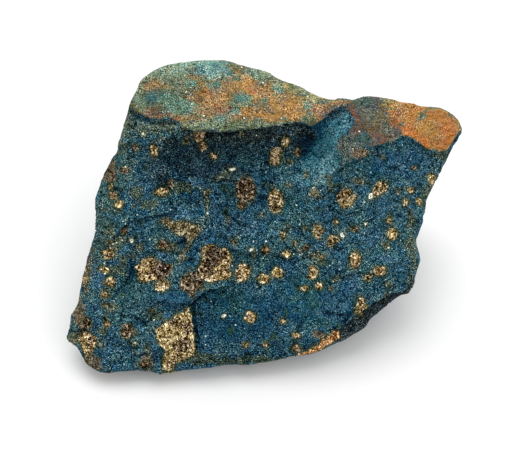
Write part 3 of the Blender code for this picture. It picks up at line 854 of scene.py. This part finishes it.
def move_skin(mesh, face, relief):
    """Moves the skin by its relief, which fades out towards the floor, and keeps it above the floor."""
    footing = smooth_rise(face.points[:, 2], *FOOTING)
    moved = face.points + face.normals * (relief * footing)[:, None]
    moved[:, 2] = np.maximum(moved[:, 2], 0.0)
    mesh.vertices.foreach_set("co", (moved * MM).ravel())
    mesh.update()


def tone(face):
    """How much darker or lighter the broad areas are, as display value: partly painted shade and light,
    partly the rock's own tone.
    """
    shade = np.zeros(len(face.points))
    for amount, ovals in TONES.items():
        for oval in ovals:
            share = oval_depth(face.warped, *oval) / min(oval[2:4])
            shade += amount * smooth_rise(share, -0.35, 0.65)
    return shade * face.front


def dress(skin):
    """Gives the skin its relief, and stores the numbers that its material is worked out from."""
    mesh = skin.data
    face = Face(mesh)
    depth, kind = all_fillings(face)
    calm_share = smooth_rise(deepest(face.warped, CALM), *OVAL_EDGE) * face.front
    shelf = face.within(outline_depth(face.places + 0.25 * face.warp, PATCHES["shelf"]))
    relief = small_relief(face, shelf, depth, kind, calm_share)
    move_skin(mesh, face, relief)

    # The relief less its smoothed self is used as painted shade in pits and painted light on bumps.
    values = {
        "darkness": kind[:, 0], "warmth": kind[:, 1], "strength": kind[:, 2], "calm": calm_share,
        "wall": 1.0 - face.front, "relief_shade_and_light": relief - spread(relief, face.pairs, 8), "shade": tone(face),
    }
    ledge_lines = [line for _, line in LEDGES]
    distances = {
        "filling": depth,
        "shelf": shelf,
        "mauve": face.within(outline_depth(face.warped, PATCHES["mauve"])),
        "teal": face.within(outline_depth(face.warped, PATCHES["teal"])),
        "underside": outline_depth(face.places + 0.3 * face.warp, PATCHES["underside"]) * READING,
        "needle": np.where(face.seen, line_distance(face.warped, NEEDLES), FAR),
        "painted_ledge_shadow": np.where(face.seen, line_distance(face.places + 0.4 * face.warp, ledge_lines), FAR),
        "dusted": face.within(deepest(face.warped, DUSTED)),
    }
    for name, (_, _, ovals) in (SHELF_BLOTS | ROCK_BLOTS).items():
        distances[name] = face.within(deepest(face.warped, ovals))
    values |= {name: np.clip(distance, -FAR, FAR) for name, distance in distances.items()}
    for name, numbers in values.items():
        layer = mesh.attributes.new(name, "FLOAT", "POINT")
        layer.data.foreach_set("value", numbers.astype(np.float32))
    mesh.polygons.foreach_set("use_smooth", np.ones(len(mesh.polygons), bool))


# ---- the material


def display(colour):
    """A display colour as the four numbers of a colour socket."""
    return (*(value / 255.0 for value in colour), 1.0)


class Graph:
    """Adds nodes to one node tree and wires them."""

    def __init__(self, tree, coordinate):
        self.tree = tree
        self.place = self.node("ShaderNodeTexCoord", {}).outputs[coordinate]

    def put(self, socket, value):
        """Wires a socket, or sets it where the value is plain. A name stands for its colour."""
        if isinstance(value, bpy.types.NodeSocket):
            self.tree.links.new(value, socket)
        elif isinstance(value, str):
            socket.default_value = display(COLOURS[value])
        else:
            socket.default_value = value

    def node(self, kind, inputs, **settings):
        """A new node with its settings made, and then its inputs wired by name or number."""
        made = self.tree.nodes.new(kind)
        for name, setting in settings.items():
            setattr(made, name, setting)
        for key, value in inputs.items():
            self.put(made.inputs[key], value)
        return made

    def math(self, operation, *values):
        return self.node("ShaderNodeMath", dict(enumerate(values)), operation=operation).outputs[0]

    def times(self, a, b):
        return self.math("MULTIPLY", a, b)

    def most(self, a, b):
        return self.math("MAXIMUM", a, b)

    def rest(self, share):
        """What a share leaves of 1."""
        return self.math("SUBTRACT", 1.0, share)

    def sum(self, *terms):
        """The sum of (value, weight) terms."""
        total = 0.0
        for value, weight in terms:
            total = self.math("MULTIPLY_ADD", value, weight, total)
        return total

    def rise(self, value, low, high, out_low=0.0, out_high=1.0):
        """A smooth step from out_low to out_high as the value goes from low to high."""
        inputs = {"Value": value, "From Min": low, "From Max": high, "To Min": out_low, "To Max": out_high}
        return self.node("ShaderNodeMapRange", inputs, interpolation_type="SMOOTHSTEP").outputs[0]

    def edge(self, value, fray, amount, low, high, most=1.0):
        """A smooth step from 0 to most as a value goes from low to high, frayed by a noise."""
        return self.rise(self.sum((value, 1.0), (fray, amount)), low, high, 0.0, most)

    def vector(self, operation, *values):
        return self.node("ShaderNodeVectorMath", dict(enumerate(values)), operation=operation).outputs[0]

    def dot(self, a, b):
        return self.node("ShaderNodeVectorMath", {0: a, 1: b}, operation="DOT_PRODUCT").outputs["Value"]

    def mix(self, share, a, b):
        """Colour a passing into colour b. Inputs 6 and 7 of the node are its two colours."""
        return self.node("ShaderNodeMix", {"Factor": share, 6: a, 7: b}, data_type="RGBA").outputs[2]

    def stored(self, name):
        """A number that is stored for each point of the mesh."""
        return self.node("ShaderNodeAttribute", {}, attribute_name=name).outputs["Fac"]

    def noise(self, size, detail, roughness, shift, place=None):
        """Noise with lumps of a size in millimetres, about -0.5 to 0.5."""
        inputs = {
            "Vector": place or self.place, "W": shift, "Scale": 1.0 / size,
            "Detail": detail, "Roughness": roughness,
        }
        lumps = self.node("ShaderNodeTexNoise", inputs, noise_dimensions="4D")
        return self.math("SUBTRACT", lumps.outputs[0], 0.5)

    def bent(self, scale, amount):
        """The place, moved about by wide waves."""
        waves = self.node("ShaderNodeTexNoise", {"Vector": self.place, "Scale": scale}).outputs["Color"]
        return self.vector("MULTIPLY_ADD", waves, (amount, amount, amount), self.place)

    def streaks(self, size, stretch, shift, along):
        """Wavy noise with lumps of a size in millimetres, drawn out one way, about -0.5 to 0.5."""
        moved = self.bent(0.11, 7.0)
        way = Vector(along).normalized()
        drawn = self.vector("MULTIPLY_ADD", self.dot(moved, way), way * (1.0 / stretch - 1.0), moved)
        return self.noise(size, 1.0, 0.5, shift, drawn)

    def cells(self, size):
        """Grains of a size in millimetres: distance to the grain's middle, and its random numbers."""
        grains = self.node("ShaderNodeTexVoronoi", {"Vector": self.place, "Scale": 1.0 / size})
        chance = self.node("ShaderNodeSeparateColor", {0: grains.outputs["Color"]})
        return grains.outputs["Distance"], chance.outputs

    def flakes(self, size, slope):
        """The height of small tilted flakes of a size in millimetres, each as steep as slope at most."""
        flake = self.node("ShaderNodeTexVoronoi", {"Vector": self.place, "Scale": 1.0 / size})
        offset = self.vector("SUBTRACT", self.place, flake.outputs["Position"])
        tilt = self.vector("SUBTRACT", flake.outputs["Color"], (0.5, 0.5, 0.5))
        return self.times(self.dot(offset, tilt), slope)

    def cracks(self, size):
        """The distance to the nearest border of uneven blocks of a size in millimetres."""
        inputs = {"Vector": self.bent(0.6, 2.6), "Scale": 1.0 / size}
        return self.node("ShaderNodeTexVoronoi", inputs, feature="DISTANCE_TO_EDGE").outputs["Distance"]


class StoneGraph(Graph):
    """The stone's nodes, with the noises and shares that several parts of its material use."""

    def __init__(self, tree):
        super().__init__(tree, "Object")
        in_mm = {0: self.place, "Scale": 1.0 / MM}
        self.place = self.node("ShaderNodeVectorMath", in_mm, operation="SCALE").outputs[0]
        noises = [self.noise(*noise) for noise in NOISES.values()]
        self.fine, self.small, self.middle, self.broad, self.hue, self.tint, self.mottle = noises
        self.drawn = self.streaks(*STREAKS["drawn"])
        self.ragged = self.sum((self.small, 1.8), (self.middle, 0.5))
        self.lobed = self.sum((self.small, 1.6), (self.middle, 2.8), (self.fine, 0.4))
        self.wisps = self.sum((self.drawn, 3.4), (self.middle, 2.2), (self.small, 0.8), (self.fine, 0.3))
        self.grain_far, self.grain = self.cells(GRAIN_SIZE)
        self.on_shelf = self.rise(self.stored("shelf"), -0.2, 0.2)
        self.shelf = self.edge(self.stored("shelf"), self.ragged, 0.2, -0.1, 0.14)


def crease_depth(g):
    """Fine creases, level on the shelves and slanting on the broken rock."""
    level = g.math("ABSOLUTE", g.streaks(*STREAKS["level"]))
    slant = g.math("ABSOLUTE", g.streaks(*STREAKS["slant"]))
    return g.sum((level, g.on_shelf), (slant, g.rest(g.on_shelf)))


def grain_light(g, creases):
    """How light each grain of the rock is, in display values, and how strongly the grain shows. The light
    also holds painted shade in pits, creases and the broad shaded areas, and painted light on bumps.
    """
    fibres = g.streaks(*STREAKS["fibres"])
    grain = g.sum((g.math("SUBTRACT", g.grain[0], 0.5), 0.12), (g.fine, 2.05), (fibres, 0.5))
    smooth = g.most(g.stored("lobe"), g.most(g.stored("bark"), g.stored("mauve")))
    strength = g.sum(
        (g.stored("calm"), -0.32), (g.on_shelf, -0.34), (g.rise(smooth, -0.3, 0.3), -0.22),
        (g.rise(g.stored("orange"), -0.5, 0.5), -0.15), (g.hue, 1.4), (1.0, 1.0),
    )
    # Besides the grain, this adds painted shade in pits and painted light on bumps, the broad areas of
    # painted shade and tone, and painted shade along the creases.
    light = g.sum(
        (g.times(grain, strength), 1.0), (g.middle, 0.03), (g.broad, 0.07), (g.stored("relief_shade_and_light"), 0.3),
        (g.stored("shade"), 1.0), (g.rise(creases, 0.0, 0.09), 0.09), (g.on_shelf, 0.014),
        (1.0, -0.092),
    )
    return light, strength


def rock_colour(g):
    """The broken rock, with the teal strip (partly painted light), the painted shade of the overhang's
    underside and the rind of the hidden sides.
    """
    rock = g.mix(g.edge(g.broad, g.hue, 0.8, -0.12, 0.16), "navy", "sea")
    rock = g.mix(g.rise(g.sum((g.hue, -1.0), (g.small, 0.3)), 0.06, 0.24, 0.0, 0.6), rock, "olive")
    rock = g.mix(g.edge(g.tint, g.small, 0.15, 0.02, 0.22, 0.75), rock, "azure")
    # The teal strip: its own teal colour, lightened partly as painted light where the slope faces the
    # lamp.
    rock = g.mix(g.edge(g.stored("teal"), g.lobed, 0.5, -0.9, 0.9, 0.95), rock, "teal")
    # The overhang's underside painted dark: painted shade.
    rock = g.mix(g.edge(g.stored("underside"), g.small, 0.3, -0.1, 0.1, 0.85), rock, "shade")
    rind = g.mix(g.edge(g.broad, g.middle, 0.4, 0.08, 0.2, 0.8), "rind", "rusty")
    cover = g.edge(g.broad, g.small, 0.35, -0.02, 0.1)
    return g.mix(g.times(g.stored("wall"), cover), rock, rind)


def weathered_colour(g, rock):
    """The weathered shelves over the rock, and the blots of colour, one kind over another."""
    covered = g.edge(g.stored("mauve"), g.ragged, 1.0, -0.4, 0.4)
    surface = g.mix(g.shelf, rock, g.mix(covered, "shelf", "mauve"))
    for name, (colour, share, _) in SHELF_BLOTS.items():
        blot = g.edge(g.stored(name), g.wisps, 1.2, -0.45, 0.45, share)
        surface = g.mix(g.times(blot, g.shelf), surface, display(colour))
    for name, (colour, share, _) in ROCK_BLOTS.items():
        blot = g.edge(g.stored(name), g.lobed, 1.3, -0.5, 0.45, share)
        surface = g.mix(blot, surface, display(colour))
    warmer = g.times(g.sum((g.drawn, 0.5), (g.tint, 0.8)), g.on_shelf)
    return g.vector("MULTIPLY_ADD", warmer, WARM_COLOUR, surface)


def filled_colour(g, surface):
    """The fillings with their dark rims over the surface, how filled each place is, and the light of
    the bits in the fillings."""
    strength = g.stored("strength")
    warmth = g.stored("warmth")
    depth = g.sum((g.stored("filling"), 1.0), (g.small, 0.55), (g.fine, 0.2))
    filled = g.times(g.rise(depth, -0.08, 0.16), strength)
    surface = g.mix(g.times(g.rise(depth, -0.7, -0.1, 0.0, 0.6), strength), surface, "dark rim")
    filling = g.mix(warmth, "pale filling", "warm filling")
    filling = g.mix(g.rise(warmth, 1.0, 1.6), filling, "rusty filling")
    filling = g.mix(g.rise(warmth, -0.2, -0.8), filling, "white filling")
    darkness = g.sum((g.stored("darkness"), 1.0), (g.small, 1.0), (g.mottle, 1.6))
    darkness = g.rise(darkness, 0.15, 0.85)
    surface = g.mix(filled, surface, g.mix(darkness, filling, "dark filling"))
    _, crumb = g.cells(CRUMB_SIZE)
    bits = g.sum(
        (g.math("SUBTRACT", g.grain[2], 0.5), 0.85), (g.math("SUBTRACT", crumb[2], 0.5), 0.42),
        (g.fine, 0.9), (g.small, 0.8), (darkness, -0.06),
    )
    return surface, filled, g.times(bits, filled)


def specked_colour(g, surface):
    """Pale specks and needles over the surface, and the light of the specks: pale mineral grains, and
    partly painted glints.
    """
    far, chance = g.cells(SPECK_SIZE)
    gathered = g.rise(g.sum((g.tint, -1.0), (g.broad, 0.5)), -0.1, 0.25)
    dusted = g.edge(g.stored("dusted"), g.lobed, 0.8, -0.6, 0.8)
    least = g.sum((gathered, -0.12), (dusted, -0.5), (0.99, 1.0))
    radius = g.rise(chance[0], least, 1.0, 0.0, 0.34)
    speck = g.rise(g.math("SUBTRACT", far, radius), 0.08, -0.08)
    surface = g.mix(g.times(speck, 0.7), surface, "speck")
    needle = g.math("ABSOLUTE", g.sum((g.stored("needle"), 1.0), (g.small, 0.15)))
    shown = g.times(g.rise(needle, 0.13, 0.07), g.rise(g.small, -0.08, 0.0))
    return g.mix(g.times(shown, 0.7), surface, "needle"), g.times(speck, chance[1])


def dark_lines(g, filled):
    """Fine cracks and chinks of the broken rock, darkened as painted shade, and the painted shadow under
    its ledges.
    """
    # Darker along fine cracks and chinks: painted shade in the grooves, which the bump also cuts.
    crack = g.times(g.rise(g.cracks(CRACK_BLOCK), 0.06, 0.01), g.rise(g.middle, 0.0, 0.1))
    chink = g.times(g.rise(g.cracks(CHINK_BLOCK), 0.09, 0.02), g.edge(g.hue, g.small, 0.6, 0.0, 0.12))
    crack = g.times(g.most(crack, g.times(chink, 0.6)), g.rest(g.most(filled, g.shelf)))
    # A dark band just below each ledge line: painted shadow.
    painted_ledge_shadow = g.sum((g.stored("painted_ledge_shadow"), 1.0), (g.small, 0.5))
    painted_ledge_shadow = g.times(g.rise(painted_ledge_shadow, -0.1, 0.1), g.rise(painted_ledge_shadow, 0.8, 0.1))
    return crack, g.times(painted_ledge_shadow, g.rest(filled))


def stone_material():
    """The rock: blue grains, weathered patches, mineral fillings and specks.

    Colours are mixed as display values and vary softly. The grain is lighter and darker only, added on top
    of them together with painted shade (in pits, creases, cracks, under the ledges and in the broad shaded
    areas) and painted light (on bumps and in the glints of the specks), and the sum is turned into light
    at the end.
    """
    material = bpy.data.materials.new("weathered_stone")
    material.use_nodes = True
    material.node_tree.nodes.clear()
    g = StoneGraph(material.node_tree)
    creases = crease_depth(g)
    light, grain_strength = grain_light(g, creases)
    surface = weathered_colour(g, rock_colour(g))
    surface, filled, bits = filled_colour(g, surface)
    light = g.sum((g.times(light, g.rest(filled)), 1.0), (bits, 1.0))
    surface, speck = specked_colour(g, surface)
    crack, painted_ledge_shadow = dark_lines(g, filled)
    # Specks lighter, partly as painted glints; cracks darker as painted shade; the lines under the ledges
    # darker as painted shadow.
    light = g.sum((light, 1.0), (speck, 0.42), (crack, -0.22), (painted_ledge_shadow, -0.16))
    surface = g.vector("MULTIPLY_ADD", light, GRAIN_COLOUR, surface)
    surface = g.vector("MULTIPLY_ADD", bits, BITS_COLOUR, surface)
    surface = g.vector("MAXIMUM", surface, (DARKEST, DARKEST, DARKEST))
    colour = g.node("ShaderNodeGamma", {"Color": surface, "Gamma": DISPLAY_GAMMA}).outputs[0]

    pitted = g.rise(bits, -0.05, -0.3)
    folds = g.math("ABSOLUTE", g.streaks(*STREAKS["folds"]))
    height = g.sum(
        (g.grain_far, -0.04), (g.fine, 0.03), (pitted, -0.14), (crack, -0.2), (creases, 0.3),
        (folds, 0.14), (g.flakes(FLAKE_SIZE, FLAKE_SLOPE), grain_strength),
    )
    bump = g.node("ShaderNodeBump", {"Strength": 1.0, "Distance": MM, "Height": height})
    shader = g.node("ShaderNodeBsdfPrincipled", {
        "Base Color": colour,
        "Roughness": g.rise(g.grain[1], 0.0, 1.0, 0.42, 0.75),
        "Normal": bump.outputs[0],
        "Specular IOR Level": 0.03,
    })
    g.node("ShaderNodeOutputMaterial", {"Surface": shader.outputs[0]})
    return material


# ---- floor, light and camera


def make_floor():
    """A wide pale floor under the stone."""
    mesh = bpy.data.meshes.new("floor")
    corners = [(-1, -1), (1, -1), (1, 1), (-1, 1)]
    mesh.from_pydata([(x * FLOOR_REACH, y * FLOOR_REACH, 0) for x, y in corners], [], [(0, 1, 2, 3)])
    floor = add_object("floor", mesh)
    material = bpy.data.materials.new("floor")
    material.use_nodes = True
    shader = material.node_tree.nodes["Principled BSDF"]
    shader.inputs["Base Color"].default_value = FLOOR_WHITE
    shader.inputs["Roughness"].default_value = FLOOR_ROUGHNESS
    shader.inputs["Specular IOR Level"].default_value = FLOOR_SPECULAR
    mesh.materials.append(material)


def make_lamp():
    """The key light: one broad soft lamp above and behind, turned to the stone."""
    lamp = bpy.data.lights.new("key", "AREA")
    lamp.shape = "SQUARE"
    lamp.size = KEY_SIZE
    lamp.energy = KEY_POWER
    thing = add_object("key", lamp)
    thing.location = KEY_PLACE
    away = Vector(KEY_TARGET) - thing.location
    thing.rotation_mode = "QUATERNION"
    thing.rotation_quaternion = away.to_track_quat("-Z", "Y")


def make_surround():
    """A soft surround that is brighter behind and to the right."""
    world = bpy.data.worlds.new("surround")
    bpy.context.scene.world = world
    world.use_nodes = True
    g = Graph(world.node_tree, "Generated")
    parts = [(1.0, SURROUND_EVEN)]
    for towards, strength in SURROUND:
        ahead = g.most(g.dot(g.place, Vector(towards).normalized()), 0.0)
        parts.append((g.math("POWER", ahead, GLOW_POWER), strength))
    background = world.node_tree.nodes["Background"]
    background.inputs["Color"].default_value = (1.0, 1.0, 1.0, 1.0)
    g.put(background.inputs["Strength"], g.sum(*parts))


def make_camera():
    """The camera at the survey station."""
    right, up, out = survey_axes()
    lens = bpy.data.cameras.new("camera")
    lens.sensor_fit = "HORIZONTAL"
    lens.sensor_width = SENSOR
    lens.lens = SENSOR * STATION_HEIGHT / SURVEY_WIDTH
    lens.clip_start = CAMERA_NEAR
    lens.clip_end = CAMERA_FAR
    camera = add_object("camera", lens)
    turn = Matrix((right, up, out)).transposed()
    place = (Vector(PLANE_ORIGIN) + STATION_HEIGHT * out) * MM
    camera.matrix_world = Matrix.Translation(place) @ turn.to_4x4()
    bpy.context.scene.camera = camera


def main():
    """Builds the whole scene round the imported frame."""
    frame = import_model()
    make_camera()
    make_floor()
    make_lamp()
    make_surround()
    skin = fine_skin(frame["nodes"]["stone"])
    dress(skin)
    skin.data.materials.clear()
    skin.data.materials.append(stone_material())
    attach(skin, "root")
    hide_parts("stone")
    bpy.context.scene.view_settings.view_transform = "Standard"


main()
